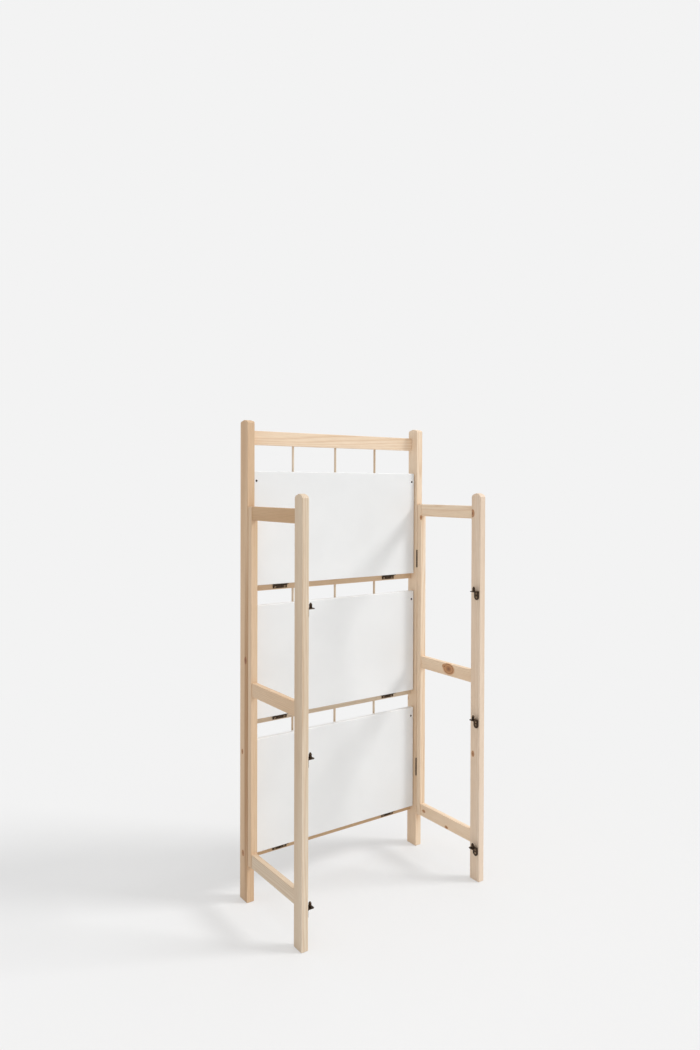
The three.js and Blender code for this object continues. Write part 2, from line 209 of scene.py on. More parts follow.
def pine(name, timber, knot_and_shade_spots=(), seam_shade_bands=()):
    """Planed Scots pine under clear matt varnish: creamy early wood, thin tan late wood in long lines
    that wander with the grain, silky fibres, and dark hearts where a branch grew through.

    The grain attribute holds each member's place in its log: across, across, along, in metres. A ring's
    phase is the distance from the pith, shifted by the wander and round a knot's heart, over the ring
    width. Knots, dark spots of painted shade given with them, and brown bands of painted seam shade are
    spots."""
    material = new_material(name)
    grain = add_node(material, "ShaderNodeAttribute", {"attribute_name": "grain"}).outputs["Vector"]
    place = add_node(material, "ShaderNodeTexCoord").outputs["Object"]
    slow = add_node(material, "ShaderNodeMapping", Vector=grain, Scale=(1.0, 1.0, SLOW_STRETCH))
    wander = add_node(material, "ShaderNodeTexNoise", Vector=slow, Scale=WANDER_PER_M, Detail=2.0,
                      Roughness=0.5)
    axes = add_node(material, "ShaderNodeSeparateXYZ", Vector=grain)
    square = [add_node(material, "ShaderNodeMath", MULTIPLY, {0: axes.outputs[k], 1: axes.outputs[k]})
              for k in (0, 1)]
    squares = add_node(material, "ShaderNodeMath", ADD, {0: square[0], 1: square[1]})
    rings = add_node(material, "ShaderNodeMath", {"operation": "SQRT"}, {0: squares})
    shifts = [add_node(material, "ShaderNodeMath", MULTIPLY, {0: wander, 1: RING_WANDER_MM * MM})]
    if knot_and_shade_spots:
        heart = spot_mask(material, place, knot_and_shade_spots)
        pull = add_node(material, "ShaderNodeMath", {"operation": "POWER"}, {0: heart, 1: 0.7})
        shifts.append(add_node(material, "ShaderNodeMath", MULTIPLY, {0: pull, 1: KNOT_BEND_MM * MM}))
    for shift in shifts:
        rings = add_node(material, "ShaderNodeMath", ADD, {0: rings, 1: shift})
    counted = add_node(material, "ShaderNodeMath", DIVIDE, {0: rings, 1: RING_MM * MM})
    ring = add_node(material, "ShaderNodeMath", {"operation": "FRACT"}, {0: counted})
    late = add_node(material, "ShaderNodeValToRGB", Fac=ring, stops=[
        (0.0, "#DEC8AE"), (0.12, "#F8F2EB"), (0.35, "#FFFFFF"), (0.7, "#FBF7F2"), (0.9, "#EDDCC8"),
        (1.0, "#DEC8AE")])
    broad = add_node(material, "ShaderNodeTexNoise", Vector=slow, Scale=TONE_PER_M, Detail=3.0,
                     Roughness=0.55)
    tone = add_node(material, "ShaderNodeValToRGB", Fac=broad, stops=[
        (0.28, "#DFCBB4"), (0.47, "#F6EFE6"), (0.7, "#FFFFFF")])
    fine = add_node(material, "ShaderNodeMapping", Vector=grain, Scale=(1.0, 1.0, FIBRE_STRETCH))
    fibre = add_node(material, "ShaderNodeTexNoise", Vector=fine, Scale=1 / (FIBRE_MM * MM), Detail=2.0,
                     Roughness=0.6)
    silk = add_node(material, "ShaderNodeValToRGB", Fac=fibre, stops=[(0.3, "#E0D9D1"), (0.6, "#FFFFFF")])
    layers = [(late, 0.5), (tone, 0.85), (silk, 0.4)]
    # Painted shade: a brown band darkens the wood along the seam of the left upright and its stile.
    if seam_shade_bands:
        brown = add_node(material, "ShaderNodeValToRGB", Fac=spot_mask(material, place, seam_shade_bands),
                         stops=[(0.0, "#FFFFFF"), (0.6, "#CDB493")])
        layers.append((brown, 0.9))
    # Dark spots: the hearts of knots, and on the right stile a spot of painted shade under its top side
    # rail.
    if knot_and_shade_spots:
        dark = add_node(material, "ShaderNodeValToRGB", Fac=heart, stops=[
            (0.0, "#FFFFFF"), (0.18, "#E0BE9A"), (0.3, "#A67852"), (0.42, "#DDB994"), (0.68, "#B88C65"),
            (1.0, "#83593A")])
        layers.append((dark, 0.95))
    colour = linear(TIMBER[timber])
    for layer, amount in layers:
        colour = add_node(material, "ShaderNodeMix", {"data_type": "RGBA", "blend_type": "MULTIPLY"},
                          {0: amount, 6: colour, 7: layer}).outputs[2]
    shine = add_node(material, "ShaderNodeMath", MULTIPLY_ADD, {0: fibre, 1: 0.12, 2: 0.46})
    relief = add_node(material, "ShaderNodeBump", Height=fibre, Strength=0.10, Distance=0.15 * MM)
    rings_up = add_node(material, "ShaderNodeBump", Height=ring, Normal=relief, Strength=0.05,
                        Distance=0.1 * MM)
    shader = add_node(material, "ShaderNodeBsdfPrincipled", Base_Color=colour, Roughness=shine,
                      Normal=rings_up, IOR=1.5)
    return finish_material(material, shader)


def white_lacquer(holes, shaded_bare_radius):
    """White satin lacquer sprayed on fibreboard: a clean cool white with a faint orange-peel ripple and
    slightly duller patches where hands have been. Inside the drilled peg holes, whose axes run along Y
    through the listed (x, z) places, out to the given radius, the unlacquered fibreboard shows in a dark
    brown that also paints in the shade deep in the holes."""
    material = new_material("white_satin_lacquer")
    place = add_node(material, "ShaderNodeTexCoord").outputs["Object"]
    peel = add_node(material, "ShaderNodeTexNoise", Vector=place, Scale=1 / (LACQUER_MM * MM), Detail=1.0,
                    Roughness=0.4)
    patches = add_node(material, "ShaderNodeTexNoise", Vector=place, Scale=HANDLED_PER_M, Detail=3.0)
    white = add_node(material, "ShaderNodeValToRGB", Fac=patches,
                     stops=[(0.3, "#EBECEC"), (0.7, "#F0F1F1")])
    flat = add_node(material, "ShaderNodeVectorMath", MULTIPLY, {0: place, 1: (1.0, 0.0, 1.0)})
    nearest = None
    for x, z in holes:
        away = add_node(material, "ShaderNodeVectorMath", {"operation": "DISTANCE"},
                        {0: flat, 1: (x, 0.0, z)}).outputs["Value"]
        nearest = away if nearest is None else (
            add_node(material, "ShaderNodeMath", MINIMUM, {0: nearest, 1: away}))
    # The holes' walls get the unlacquered fibreboard colour, dark as painted shade of the deep bores.
    bare_and_shaded = add_node(material, "ShaderNodeMath", {"operation": "LESS_THAN"}, {0: nearest, 1: shaded_bare_radius})
    colour = add_node(material, "ShaderNodeMix", {"data_type": "RGBA"},
                      {0: bare_and_shaded, 6: white, 7: linear(SHADED_BARE_FIBRE)}).outputs[2]
    rough = add_node(material, "ShaderNodeMath", MULTIPLY_ADD, {0: patches, 1: 0.14, 2: 0.3})
    relief = add_node(material, "ShaderNodeBump", Height=peel, Strength=0.06, Distance=0.1 * MM)
    shader = add_node(material, "ShaderNodeBsdfPrincipled", Base_Color=colour, Roughness=rough,
                      Normal=relief, IOR=1.5)
    return finish_material(material, shader)


def bronzed_steel(name, light, dark, roughness):
    """Stamped mild steel with an antique bronze finish: brown-black in the low places, thin warm metal
    where the coat is lighter, tumbled to a satin shine. The roughness swings by 0.1 either way."""
    material = new_material(name)
    place = add_node(material, "ShaderNodeTexCoord").outputs["Object"]
    clouds = add_node(material, "ShaderNodeTexNoise", Vector=place, Scale=CLOUD_PER_M, Detail=4.0,
                      Roughness=0.6)
    grit = add_node(material, "ShaderNodeTexNoise", Vector=place, Scale=GRIT_PER_M, Detail=1.0)
    colour = add_node(material, "ShaderNodeValToRGB", Fac=clouds, stops=[(0.35, dark), (0.7, light)])
    rough = add_node(material, "ShaderNodeMath", MULTIPLY_ADD, {0: clouds, 1: 0.2, 2: roughness - 0.1})
    relief = add_node(material, "ShaderNodeBump", Height=grit, Strength=0.12, Distance=0.05 * MM)
    shader = add_node(material, "ShaderNodeBsdfPrincipled", Base_Color=colour, Roughness=rough,
                      Normal=relief, Metallic=0.85)
    return finish_material(material, shader)


SHADED_BARE_RIM_MM = 0.15         # unlacquered fibre on the holes' rounded rims, in the dark painted-shade colour
WHITE = white_lacquer([place for tier in TIERS for place in BOARD_HOLES[tier]],
                      (PEG_HOLE_RADIUS_MM + SHADED_BARE_RIM_MM) * MM)
BRONZE = bronzed_steel("antique_bronzed_steel", "#5A4634", "#2A211A", 0.42)
SCREW_BRONZE = bronzed_steel("antique_bronzed_screws", "#BCA285", "#77624E", 0.34)
PIN_STEEL = bronzed_steel("blackened_steel_wire", "#77695A", "#4A3F35", 0.34)

# The plank that each member was cut from.
MEMBER_TIMBER = {
    "left_upright": "warm",
    "right_upright": "cream",
    "left_stile": "warm",
    "right_stile": "cream",
    "left_front_post": "pale",
    "right_front_post": "rosy",
    "back_top_rail": "cream",
    "top_shelf_rail": "warm",
    "middle_shelf_rail": "pale",
    "bottom_shelf_rail": "honey",
    "left_top_side_rail": "honey",
    "left_middle_side_rail": "warm",
    "left_bottom_side_rail": "pale",
    "right_top_side_rail": "cream",
    "right_middle_side_rail": "cream",
    "right_bottom_side_rail": "cream",
    "left_rod": "pale",
    "middle_rod": "pale",
    "right_rod": "pale",
}
# The knots that show in the members, with one dark spot of painted shade on the right stile just under
# its top side rail, and a long brown band of painted shade along the left upright's seam with its stile.
KNOTS_AND_SHADE_SPOTS = {
    "left_upright": [spot((-282, 118, 603), 7, 2), spot((-282, 130, 118), 6, 2),
                     spot((-282, 134, 372), 5, 2), spot((-275, 146, 800), 6, 2)],
    "right_upright": [spot((268, 146, 420), 8, 2)],
    # Painted shade: this dark spot stands for the shadow under the right top side rail, not a knot.
    "right_stile": [spot((263, 91.5, 948), 5, 2)],
    "left_front_post": [spot((-272, -113, 700), 6, 2)],
    "right_front_post": [spot((263, -117.5, 966), 8, 2), spot((263, -122.8, 332), 6, 2)],
    "back_top_rail": [spot((120, 146.5, 1150), 9, 0)],
    "top_shelf_rail": [spot((-60, 146.5, 786), 8, 0)],
    "left_middle_side_rail": [spot((-265, 40, 530), 6, 1)],
    "right_middle_side_rail": [spot((265, -25, 537), 17, 1), spot((265, -8, 541), 7, 1)],
    "right_bottom_side_rail": [spot((265, 76, 111), 5, 1), spot((265, -19, 99), 5, 1)],
}
# Painted shade: a long brown band along the seam where the left upright meets its stile.
SEAM_SHADE_BANDS = {"left_upright": [spot((-283, 115, 420), 11, 2, 560)]}
PLAIN_PINE = {timber: pine(f"planed_{timber}_pine", timber) for timber in TIMBER}


def timber_of(node):
    """The member's own pine, with the spots listed for it (knots, and painted shade), or the plain one of
    its plank.
    """
    timber = MEMBER_TIMBER[node]
    if node not in KNOTS_AND_SHADE_SPOTS:
        return PLAIN_PINE[timber]
    return pine(f"spotted_{timber}_pine_{node}", timber, KNOTS_AND_SHADE_SPOTS[node], SEAM_SHADE_BANDS.get(node, ()))


# ------------------------------------------------------------------ camera

# Fitted to the corners and edges of the members in the photograph.
LENS_MM = 26.776
CAMERA_AT = (-1.1864, -1.6099, 1.0342)
YAW, PITCH, ROLL = (math.radians(a) for a in (-35.221, -0.713, 0.171))
SHIFT_RIGHT, SHIFT_UP = 0.0002, -0.0269


def make_camera():
    """A camera at the fitted place. Yaw turns about Z from +Y, pitch lifts the view, and roll turns the
    picture about the line of sight."""
    forward = Vector((-math.sin(YAW) * math.cos(PITCH), math.cos(YAW) * math.cos(PITCH), math.sin(PITCH)))
    level = Vector((math.cos(YAW), math.sin(YAW), 0))
    upward = level.cross(forward)
    right = math.cos(ROLL) * level + math.sin(ROLL) * upward
    up = -math.sin(ROLL) * level + math.cos(ROLL) * upward
    data = bpy.data.cameras.new("camera")
    data.lens = LENS_MM
    data.shift_x, data.shift_y = SHIFT_RIGHT, SHIFT_UP
    camera = bpy.data.objects.new("camera", data)
    bpy.context.collection.objects.link(camera)
    turn = Matrix((right, up, -forward)).transposed().to_4x4()
    camera.matrix_world = Matrix.Translation(CAMERA_AT) @ turn
    bpy.context.scene.camera = camera


make_camera()

# ------------------------------------------------------------------ wooden members

ARRIS_MM = 1.3             # rounding of the planed edges
SQUARE_END_MM = 0.25       # and of the rails' sawn ends
ROD_FLAT_MM = 0.02         # what a rod's rounded edges lack of a full round
NEAR_EDGE_MM = 3           # a member's faces have extra points up to so far from their edges
GROOVE_STEP_MM = 0.05      # rings either side of a groove's ends
UPRIGHT_CROWN_MM = 6       # rise of the uprights' arched tops
POST_CROWN_MM = 9.5        # and of the posts'
HEART_MM = (28, 75)        # a member's distance from the heart of its log
GRAIN_SLOPE = 0.012        # how far the grain may run out of line
LOG_SHIFT_M = 40           # members lie anywhere along so much trunk, so that no two look alike
FIRST_SEED = 11
END_RINGS = (0.02, 0.3, 0.6, 0.85)   # rings inside an end's edge, as shares of its size


def bar_section(wide, deep, radius):
    """Rounded rectangle with quarter arcs at its corners, as an (n, 2) loop of points, anticlockwise.
    Each straight side has a few extra points close to its ends."""
    half = np.array([wide / 2, deep / 2])
    turn = np.linspace(0, np.pi / 2, EDGE_STEPS + 1)
    loop = []
    for k, sign in enumerate(((1, 1), (-1, 1), (-1, -1), (1, -1))):
        corner = np.array(sign) * (half - radius)
        angle = turn + k * np.pi / 2
        loop.append(corner + radius * np.stack([np.cos(angle), np.sin(angle)], -1))
    sides = []
    for k in range(4):
        a, b = loop[k][-1], loop[(k + 1) % 4][0]
        length = np.linalg.norm(b - a)
        near = min(NEAR_EDGE_MM * MM, length / 3)
        stops = np.array([near / 3, near * 2 / 3, near, length / 2, length - near,
                          length - near * 2 / 3, length - near / 3]) / length
        sides.append(a + (b - a) * stops[:, None])
    return np.concatenate([part for k in range(4) for part in (loop[k], sides[k])])


def bar_points(low, high, along, arris, end_arris=None, crown=0.0, stations=12, extra=()):
    """Points of a bar between two corners, as rings round it from one end's middle to the other's.

    Each end is a quarter-round edge of radius r, the end arris: at angle a the section has shrunk by
    r(1 - sin a) and stands r(1 - cos a) in from the end; inside it the section shrinks in steps to the
    middle. A crowned top is lowered by the fall of an arc from front to back, over its last tenth. Extra
    rings stand at the given heights above the low end."""
    r = arris if end_arris is None else end_arris
    low, high = np.array(low), np.array(high)
    across = [k for k in range(3) if k != along]
    size = high - low
    middle = (low + high) / 2
    section = bar_section(size[across[0]], size[across[1]], arris)
    half = size[across] / 2
    turn = np.linspace(0, np.pi / 2, EDGE_STEPS + 1)
    shrink = [(f, f, 0.0) for f in END_RINGS]
    edge_in = [(1 - r * (1 - math.sin(a)) / half[0], 1 - r * (1 - math.sin(a)) / half[1],
                r * (1 - math.cos(a))) for a in turn]
    lead = shrink + edge_in
    heights = [*np.linspace(r, size[along] - r, stations)[1:-1], *extra]
    body = [(1.0, 1.0, t) for t in sorted(heights)]
    tail = [(sx, sy, size[along] - inset) for sx, sy, inset in reversed(lead)]
    stops = np.array(lead + body + tail)
    flat = section[None, :, :] * stops[:, None, :2]
    points = np.zeros(flat.shape[:2] + (3,))
    points[..., across[0]] = middle[across[0]] + flat[..., 0]
    points[..., across[1]] = middle[across[1]] + flat[..., 1]
    height = np.repeat(stops[:, 2][:, None], len(section), 1)
    if crown:
        radius = size[1] ** 2 / (8 * crown) + crown / 2
        offset = points[..., 1] - middle[1]
        drop = radius - np.sqrt(np.maximum(radius ** 2 - offset ** 2, 0))
        height = height - drop * np.clip(10 * height / size[along] - 9, 0, 1)
    points[..., along] = low[along] + height
    return points


def groove_edge(points, pins, radius, reach):
    """Cuts a round groove into an upright bar for each half-sunk hinge. In the rings within reach of a
    pin, the points that fall inside the groove's circle are spread along its arc through the wood,
    between the places where the outline crosses the circle: the nearer roots of |out + t step| = radius."""
    middle = points.reshape(-1, 3).mean(0)[:2]
    for pin in pins:
        inward = math.atan2(*(middle - pin[:2])[::-1])
        for number in np.flatnonzero(np.abs(points[:, 0, 2] - pin[2]) <= reach):
            ring = points[number]
            away = ring[:, :2] - pin[:2]
            inside = np.linalg.norm(away, axis=1) < radius
            first = int(np.flatnonzero(inside & ~np.roll(inside, 1))[0])
            run = [(first + k) % len(ring) for k in range(int(inside.sum()))]
            ends = []
            for out, within in ((run[0] - 1, run[0]), ((run[-1] + 1) % len(ring), run[-1])):
                step = away[within] - away[out]
                a, b, c = step @ step, 2 * away[out] @ step, away[out] @ away[out] - radius ** 2
                crossing = away[out] + step * (-b - math.sqrt(b * b - 4 * a * c)) / (2 * a)
                turn = math.atan2(crossing[1], crossing[0]) - inward
                ends.append(math.atan2(math.sin(turn), math.cos(turn)))
            angles = inward + np.linspace(ends[0], ends[1], len(run))
            ring[run, 0] = pin[0] + radius * np.cos(angles)
            ring[run, 1] = pin[1] + radius * np.sin(angles)


def grain_of(points, along, seed):
    """Where each point of a member lay in its log: a seeded heart distance and direction, with a slight
    slope of grain, and a seeded shift along the trunk."""
    random = np.random.default_rng(seed)
    across = [k for k in range(3) if k != along]
    middle = points.reshape(-1, 3).mean(0)
    local = points.reshape(-1, 3) - middle
    angle = random.uniform(0, 2 * np.pi)
    heart = random.uniform(*HEART_MM) * MM
    slope = random.uniform(-GRAIN_SLOPE, GRAIN_SLOPE, 2)
    a = local[:, across[0]] + heart * math.cos(angle) + slope[0] * local[:, along]
    b = local[:, across[1]] + heart * math.sin(angle) + slope[1] * local[:, along]
    return np.stack([a, b, local[:, along] + random.uniform(0, LOG_SHIFT_M)], -1)


def wooden_bar(node, low, high, along, body, seed, material, arris=ARRIS_MM * MM, pins=(), **shape):
    """A planed member that stands for a node of the model. Its pins are those of half-sunk hinges, which
    it is grooved for."""
    reach = (SIDE_HINGE["long"] / 2 + SEAT_GAP_MM) * MM
    ends = [pin[2] + side * (reach + step) - low[2] for pin in pins for side in (-1, 1)
            for step in (-GROOVE_STEP_MM * MM, GROOVE_STEP_MM * MM)]
    points = bar_points(low, high, along, arris, extra=ends, **shape)
    groove_edge(points, pins, (SIDE_HINGE["knuckle"] + SEAT_GAP_MM) * MM, reach)
    return finish_bar(node, points, along, body, seed, material)


def finish_bar(node, points, along, body, seed, material):
    """Makes the mesh of a bar from its rings, with a cap at each end and its grain attribute. Round a bar
    that lies along Y the section's points run the other way, so its faces are turned."""
    rings, around = points.shape[:2]
    faces = grid_faces(rings, around)
    if along == 1:
        faces = faces[:, ::-1]
    caps = [tuple(range(around)), tuple(range((rings - 1) * around, rings * around))]
    first = caps[0] if along == 1 else caps[0][::-1]
    last = caps[1][::-1] if along == 1 else caps[1]
    made = put_mesh(node + "_wood", points.reshape(-1, 3).tolist(), faces.tolist() + [first, last],
                    material, body, [node])
    grain = grain_of(points, along, seed)
    attribute = made.data.attributes.new("grain", "FLOAT_VECTOR", "POINT")
    attribute.data.foreach_set("vector", grain.astype(np.float32).ravel())
    return flatten_flats(made)


def body_of_node(node):
    """The body that carries a node of the model."""
    bodies = frame["record"]["behaviour"]["bodies"]
    return next(body for body, nodes in bodies.items() if node in nodes)


def make_wood():
    """All wooden members, from the boxes of their nodes. Rails end at the faces that they are tenoned
    into, so their ends are square and only their long edges are eased."""
    bars = []
    reach = [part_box("left_upright")[1][0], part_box("right_upright")[0][0]]
    pins = {side: [np.mean(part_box(f"{side}_frame_hinge_{place}_pin"), axis=0)
                   for place in ("lower", "upper")] for side in SIDES}
    for side in SIDES:
        bars.append((f"{side}_upright", "back_frame", 2, {},
                     {"crown": UPRIGHT_CROWN_MM * MM, "pins": pins[side]}))
    for node in [f"{tier}_shelf_rail" for tier in TIERS] + ["back_top_rail"]:
        bars.append((node, "back_frame", 0, {0: reach}, {"end_arris": SQUARE_END_MM * MM}))
    for side in SIDES:
        body = f"{side}_side_frame"
        post, stile = f"{side}_front_post", f"{side}_stile"
        reach = [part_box(post)[1][1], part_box(stile)[0][1]]
        bars.append((post, body, 2, {}, {"crown": POST_CROWN_MM * MM}))
        bars.append((stile, body, 2, {}, {"pins": pins[side]}))
        for tier in TIERS:
            bars.append((f"{side}_{tier}_side_rail", body, 1, {1: reach},
                         {"end_arris": SQUARE_END_MM * MM}))
    for node in ("left_rod", "middle_rod", "right_rod"):
        low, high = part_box(node)
        bars.append((node, "back_frame", 2, {}, {"arris": (high[0] - low[0]) / 2 - ROD_FLAT_MM * MM}))
    for seed, (node, body, along, between, shape) in enumerate(bars, FIRST_SEED):
        low, high = (list(corner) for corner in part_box(node))
        for axis, stops in between.items():
            low[axis], high[axis] = stops
        wooden_bar(node, low, high, along, body, seed, timber_of(node), **shape)


make_wood()

# ------------------------------------------------------------------ shelf boards

RIM_MM = 1.5               # softened rim of the lacquered boards
CORNER_MM = 2.0            # their corners, seen from the front
CORNER_STEPS = 5
HOLE_RIM_MM = 0.35
HOLE_SIDES = 32


def quad_strip(first, second):
    """Quads between two closed loops of point numbers."""
    return [(first[k], first[k - 1], second[k - 1], second[k]) for k in range(len(first))]


def shelf_board(node, hole_places, hole_radius):
    """A board with a rounded rim and two holes bored through it.

    Its outline is a rectangle with round corners: inner corner points plus a radius along the outward
    direction. Round the rim at angle t the outline shrinks by r(1 - sin t) while the depth moves by
    r(1 - cos t) from a face. Each flat face is cut in three by lines through the holes' centres."""
    low, high = (np.array(corner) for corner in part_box(node))
    rim, corner, edge = RIM_MM * MM, CORNER_MM * MM, HOLE_RIM_MM * MM
    turn = np.linspace(0, np.pi / 2, CORNER_STEPS + 1)
    hole_xs = [x for x, z in hole_places]
    columns = {0: hole_xs[::-1], 2: hole_xs}     # the holes' lines, after the corners that lead to them
    anchors, outward = [], []
    for start, (x, z) in enumerate(((high[0], high[2]), (low[0], high[2]), (low[0], low[2]),
                                    (high[0], low[2]))):
        centre = (x - corner * np.sign(x), z + corner * (1 if z == low[2] else -1))
        angles = turn + start * np.pi / 2
        anchors += [centre] * len(turn)
        outward += list(zip(np.cos(angles), np.sin(angles)))
        for hole_x in columns.get(start, ()):
            anchors.append((hole_x, centre[1]))
            outward.append((0.0, 1.0 if start == 0 else -1.0))
    anchors, outward = np.array(anchors), np.array(outward)
    count = len(anchors)
    bend = np.linspace(0, np.pi / 2, EDGE_STEPS + 1)
    depths = [(corner - rim * (1 - math.sin(a)), low[1] + rim * (1 - math.cos(a))) for a in bend]
    depths += [(reach, low[1] + high[1] - y) for reach, y in reversed(depths)]
    points = [np.insert(anchors + reach * outward, 1, y, axis=1) for reach, y in depths]
    loops = [list(range(k * count, (k + 1) * count)) for k in range(len(depths))]
    rim_faces = [face for a, b in zip(loops, loops[1:]) for face in quad_strip(a, b)]
    round_hole = np.linspace(0, 2 * np.pi, HOLE_SIDES, endpoint=False) + np.pi / 2
    drill = [(hole_radius + edge * (1 - math.sin(a)), low[1] + edge * (1 - math.cos(a))) for a in bend]
    drill += [(reach, low[1] + high[1] - y) for reach, y in reversed(drill)]
    total = count * len(depths)
    bores = []
    for x, z in hole_places:
        rings = []
        for reach, y in drill:
            ring = np.stack([x + reach * np.cos(round_hole), np.full(HOLE_SIDES, y),
                             z + reach * np.sin(round_hole)], -1)
            points.append(ring)
            rings.append(list(range(total, total + HOLE_SIDES)))
            total += HOLE_SIDES
        rim_faces += [face[::-1] for a, b in zip(rings, rings[1:]) for face in quad_strip(a, b)]
        bores.append((rings[0], rings[-1]))
    arc = len(turn)
    top_right, top_left, foot_left, foot_right = arc, arc + 1, 3 * arc + 2, 3 * arc + 3
    half = HOLE_SIDES // 2
    faces = []
    for side, loop in ((0, loops[0]), (1, loops[-1])):
        left, right = bores[0][side], bores[1][side]
        near = loop[foot_right:] + loop[:foot_right]
        right_part = near[:(top_right - foot_right) % count + 1] + [right[0]] + right[:half - 1:-1]
        middle = ([loop[top_right], loop[top_left]] + [left[0]] + left[:half - 1:-1]
                  + [loop[foot_left], loop[foot_right]] + right[half::-1])
        left_part = loop[top_left:foot_left + 1] + left[half::-1]
        for part in (right_part, middle, left_part):
            faces.append(part if side == 0 else part[::-1])
    made = put_mesh(f"{node}_board", np.concatenate(points).tolist(), rim_faces + faces, WHITE,
                    body_of_node(node), [node])
    smooth = np.zeros(len(made.data.polygons), bool)
    smooth[:len(rim_faces)] = True
    made.data.polygons.foreach_set("use_smooth", smooth)
    return made


for tier in TIERS:
    shelf_board(f"{tier}_shelf", BOARD_HOLES[tier], PEG_HOLE_RADIUS_MM * MM)

# ------------------------------------------------------------------ hardware

LEAF_MM = 1.2              # thickness of the stamped leaves
LEAF_EDGE_MM = 0.25        # their tumbled edges
KNUCKLE_GAP_MM = 0.4       # between the knuckles of two leaves
KNUCKLE_LAP_MM = 1         # overlap of a knuckle's root and the leaf's plate
PIN_BORE_MM = 1.35         # radius of the hole that the pin turns in
BORE_WALL_MM = 0.2         # from the bore to the start of a knuckle's root
SCREW_HEAD_MM = 2.9        # radius of a screw's head
SCREW_SHANK_MM = 1.6       # and of its shank
SCREW_LONG_MM = 9
# Rings of a screw's face, as shares of the head's radius.
SCREW_RINGS = (1, 0.94, 0.86, 0.76, 0.66, 0.56, 0.46, 0.37, 0.28, 0.2, 0.13, 0.06, 0.01)
CROSS_HALF_MM = 0.55       # half width of an arm of the cross, where it opens
CROSS_WALL_MM = 0.2        # run of the arm's sloping walls
CROSS_REACH = 0.66         # the arm's reach, where it opens, as a share of the head's radius
CROSS_END_MM = 0.5         # run of its sloping end
# Sizes of a pegged bracket, its screws' heights under the tab's top, and the rise of their heads.
BRACKET = {"thick": 1.8, "wide": 17, "tall": 24, "tab": 18, "corner": 3, "bend": 2.2,
           "screws": (-7.5, -16.5), "dome": 0.4}
PEG = {"collar": 3.6, "collar_tall": 8.9, "tip": 2.25, "tip_tall": 3.0}
ROUND = 32                 # points round a turned piece


def join_shells(shells):
    """Several closed shells, each its points and its faces, as one list of points and one of faces."""
    points, faces, total = [], [], 0
    for own_points, own_faces in shells:
        flat = np.asarray(own_points).reshape(-1, 3)
        points.append(flat)
        faces += [tuple(int(v) + total for v in face) for face in own_faces]
        total += len(flat)
    return np.concatenate(points), faces


def closed_tube(rings):
    """Faces of rings of points, one after another, closed by a cap at each end."""
    count, around = rings.shape[:2]
    caps = [tuple(range(around))[::-1], tuple(range((count - 1) * around, count * around))]
    return grid_faces(count, around).tolist() + caps


def turned(profile):
    """A profile of (radius, height) pairs turned about Z, closed at both ends."""
    profile = np.array(profile, float)
    angle = np.linspace(0, 2 * np.pi, ROUND, endpoint=False)
    circle = np.stack([np.cos(angle), np.sin(angle)], -1)
    rings = np.zeros((len(profile), ROUND, 3))
    rings[..., :2] = profile[:, None, :1] * circle[None]
    rings[..., 2] = profile[:, 1][:, None]
    return rings, closed_tube(rings)


def bored(profile):
    """A closed loop of (radius, height) pairs turned about Z, so that it makes a ring with a hole. The
    point numbers of one ring past the last are the first ring's, by the remainder."""
    rings = turned(profile)[0]
    return rings, (grid_faces(len(profile) + 1, ROUND) % (len(profile) * ROUND)).tolist()


def soft_block(low, high, edge):
    """A small plate with rounded edges, in millimetres. The extra points that bar_section puts near the
    edges are set in metres, so here they lie within 0.003 mm of the edges and make very thin faces."""
    rings = bar_points(low, high, 2, edge, stations=3)
    return rings, closed_tube(rings)


def countersunk_screw(dome):
    """A cross-headed screw whose head's face lies at height 0 and whose shank runs up +Z.

    The head's face is a low dome, less a cross 1 mm deep: the recess at a point rises from nothing at
    the half width of an arm, measured from the nearer centre line, and fades at the arms' ends."""
    head, shank = SCREW_HEAD_MM, SCREW_SHANK_MM
    radii = head * np.array(SCREW_RINGS)
    angle = np.linspace(0, 2 * np.pi, ROUND, endpoint=False)
    face = np.zeros((len(radii), ROUND, 3))
    face[..., 0] = radii[:, None] * np.cos(angle)
    face[..., 1] = radii[:, None] * np.sin(angle)
    arm = np.minimum(np.abs(face[..., 0]), np.abs(face[..., 1]))
    recess = (np.clip((CROSS_HALF_MM - arm) / CROSS_WALL_MM, 0, 1)
              * np.clip((CROSS_REACH * head - radii[:, None]) / CROSS_END_MM, 0, 1))
    face[..., 2] = recess - dome * (1 - (radii[:, None] / head) ** 2)
    face[0, :, 2] = 0.15
    cone = turned([(head, 0.25), (shank, 1.7), (shank, SCREW_LONG_MM - 2), (0.05, SCREW_LONG_MM)])[0]
    rings = np.concatenate([face[::-1], cone])
    return rings, closed_tube(rings)


def placed(points, centre, along, out, facing):
    """Points in millimetres in a piece's own frame, moved to the frame of the stand in metres."""
    basis = np.array([along, out, facing], float)
    return np.asarray(points).reshape(-1, 3) @ basis * MM + np.array(centre)


def metal_piece(name, shells, material, body, frame_of, replaced=()):
    """One piece of hardware from its shells, which are in millimetres in the piece's own frame."""
    points, faces = join_shells(shells)
    made = put_mesh(name, placed(points, *frame_of).tolist(), faces, material, body, replaced)
    return flatten_flats(made)


